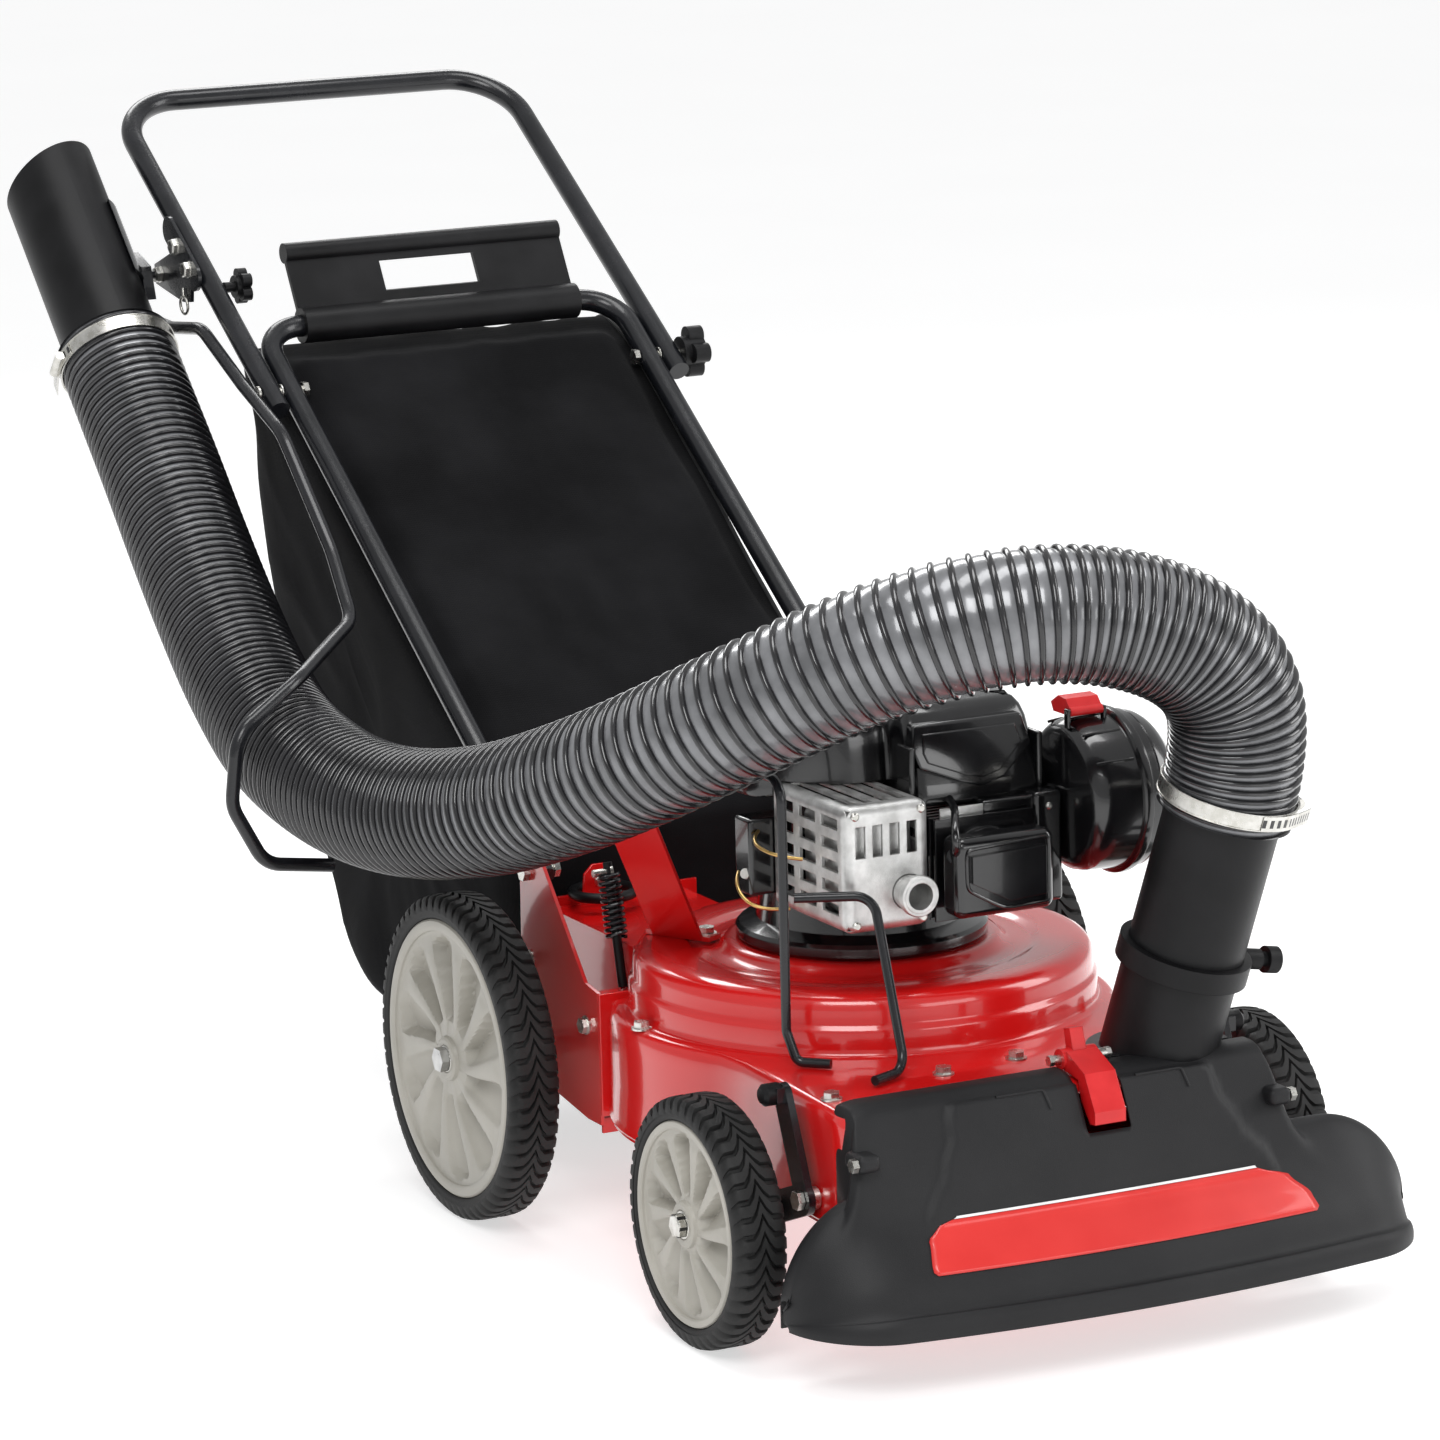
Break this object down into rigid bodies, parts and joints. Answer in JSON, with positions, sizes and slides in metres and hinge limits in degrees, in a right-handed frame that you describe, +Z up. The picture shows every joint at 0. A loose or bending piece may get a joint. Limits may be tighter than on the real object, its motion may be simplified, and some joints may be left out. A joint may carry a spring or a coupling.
{
  "type": "leaf vacuum mulcher",
  "caption": "Walk-behind leaf vacuum and mulcher with a bowed floor nozzle, flexible hose and wand, engine-driven impeller, cloth bag and folding handle.",
  "frame": {"origin": "on the ground, under the middle of the machine's box without its hose", "axes": "+X to the operator's left, +Y to the rear where the operator stands, +Z up; the nozzle faces -Y"},
  "size_m": [0.7212, 1.5458, 0.8788],
  "materials": {
    "red_paint": "glossy",
    "black_paint": "satin",
    "black_plastic": "matte",
    "badge_red": "gloss",
    "red_plastic": "gloss",
    "rim_plastic": "satin",
    "tyre_rubber": "matte",
    "hose_plastic": "gloss",
    "bag_cloth": "matte",
    "zinc": "satin",
    "cast_silver": "cast",
    "engine_black": "semi-gloss",
    "engine_cast": "semi-gloss paint",
    "steel": "machined"
  },
  "bodies": {
    "machine": {"impeller_housing": "red_paint", "housing_floor": "red_paint", "discharge_chute": "red_paint", "deck_brace": "red_paint", "axle_tie_bar": "red_paint", "rear_bracket_right": "red_paint", "rear_bracket_left": "red_paint", "rear_axle": "steel", "deck_bolts": "zinc", "nozzle": "black_plastic", "nozzle_badge": "badge_red", "hose_port": "black_plastic", "port_clamp_ring": "black_plastic", "hose_adapter": "black_plastic", "hose": "hose_plastic", "hose_clamp_lower": "zinc", "hose_clamp_upper": "zinc", "wand": "black_plastic", "wand_saddle": "black_paint", "hose_support_rod": "black_paint", "lower_handle": "black_paint", "handle_bolts": "zinc", "grip_panel": "black_plastic", "bag": "bag_cloth", "guard_rod_tall": "black_paint", "guard_rod_front": "black_paint", "crankcase": "engine_cast", "cylinder": "engine_cast", "valve_cover": "engine_cast", "muffler": "cast_silver", "muffler_guard": "cast_silver", "carburettor": "cast_silver", "air_filter_housing": "black_plastic", "blower_housing": "engine_black", "recoil_cover": "engine_black", "fuel_tank": "black_plastic"},
    "height_lever_right": {"front_arm_right": "black_paint"},
    "height_lever_left": {"front_arm_left": "black_paint"},
    "wheel_front_right": {"rim_front_right": "rim_plastic", "tyre_front_right": "tyre_rubber"},
    "wheel_front_left": {"rim_front_left": "rim_plastic", "tyre_front_left": "tyre_rubber"},
    "wheel_rear_right": {"rim_rear_right": "rim_plastic", "tyre_rear_right": "tyre_rubber"},
    "wheel_rear_left": {"rim_rear_left": "rim_plastic", "tyre_rear_left": "tyre_rubber"},
    "handle_top": {"upper_handle": "black_paint", "handle_bracket": "black_paint", "hairpin": "zinc"},
    "wand_lock": {"wand_knob": "black_plastic"},
    "handle_lock": {"fold_knob": "black_plastic"},
    "adapter_lock": {"port_clamp_knob": "black_plastic"},
    "rotor": {"crankshaft": "steel", "flywheel": "cast_silver", "impeller": "steel"},
    "diverter": {"diverter_lever": "red_plastic", "diverter_shaft": "zinc"},
    "latch": {"filter_latch": "red_plastic"},
    "tank_cap": {"fuel_cap": "black_plastic"},
    "oil_cap": {"dipstick": "red_plastic"}
  },
  "joints": [
    {"name": "height_right", "type": "hinge", "parent": "machine", "child": "height_lever_right", "pos_m": [-0.1499, -0.6202, 0.13], "axis": [1, 0, 0], "range_deg": [-16, 0]},
    {"name": "height_left", "type": "hinge", "parent": "machine", "child": "height_lever_left", "pos_m": [0.2501, -0.6202, 0.13], "axis": [1, 0, 0], "range_deg": [-16, 0]},
    {"name": "spin_front_right", "type": "hinge", "parent": "height_lever_right", "child": "wheel_front_right", "pos_m": [-0.1999, -0.5472, 0.1016], "axis": [1, 0, 0], "continuous": true},
    {"name": "spin_front_left", "type": "hinge", "parent": "height_lever_left", "child": "wheel_front_left", "pos_m": [0.3001, -0.5472, 0.1016], "axis": [1, 0, 0], "continuous": true},
    {"name": "spin_rear_right", "type": "hinge", "parent": "machine", "child": "wheel_rear_right", "pos_m": [-0.2079, -0.1182, 0.1397], "axis": [1, 0, 0], "continuous": true},
    {"name": "spin_rear_left", "type": "hinge", "parent": "machine", "child": "wheel_rear_left", "pos_m": [0.3081, -0.1182, 0.1397], "axis": [1, 0, 0], "continuous": true},
    {"name": "handle_fold", "type": "hinge", "parent": "machine", "child": "handle_top", "pos_m": [0.0501, 0.4008, 0.637], "axis": [1, 0, 0], "range_deg": [0, 150]},
    {"name": "handle_lock_turn", "type": "hinge", "parent": "machine", "child": "handle_lock", "pos_m": [0.2701, 0.4008, 0.637], "axis": [1, 0, 0], "range_deg": [0, 360]},
    {"name": "wand_lock_turn", "type": "hinge", "parent": "handle_top", "child": "wand_lock", "pos_m": [-0.1299, 0.52688, 0.71826], "axis": [1, 0, 0], "range_deg": [0, 360]},
    {"name": "adapter_lock_turn", "type": "hinge", "parent": "machine", "child": "adapter_lock", "pos_m": [0.25525, -0.64584, 0.27414], "axis": [0.9859, 0, -0.1676], "range_deg": [0, 360]},
    {"name": "rotor_spin", "type": "hinge", "parent": "machine", "child": "rotor", "pos_m": [0.0501, -0.3472, 0.2], "axis": [0, 0, 1], "continuous": true},
    {"name": "diverter_turn", "type": "hinge", "parent": "machine", "child": "diverter", "pos_m": [0.0801, -0.6492, 0.219], "axis": [-1, 0, 0], "range_deg": [0, 60]},
    {"name": "latch_turn", "type": "hinge", "parent": "machine", "child": "latch", "pos_m": [0.1741, -0.5072, 0.4635], "axis": [1, 0, 0], "range_deg": [0, 60]},
    {"name": "fuel_cap_turn", "type": "hinge", "parent": "machine", "child": "tank_cap", "pos_m": [0.0661, -0.1992, 0.48], "axis": [0, 0, 1], "range_deg": [0, 90]},
    {"name": "oil_cap_turn", "type": "hinge", "parent": "machine", "child": "oil_cap", "pos_m": [0.1621, -0.3152, 0.36], "axis": [0, 0, 1], "range_deg": [0, 90]}
  ]
}
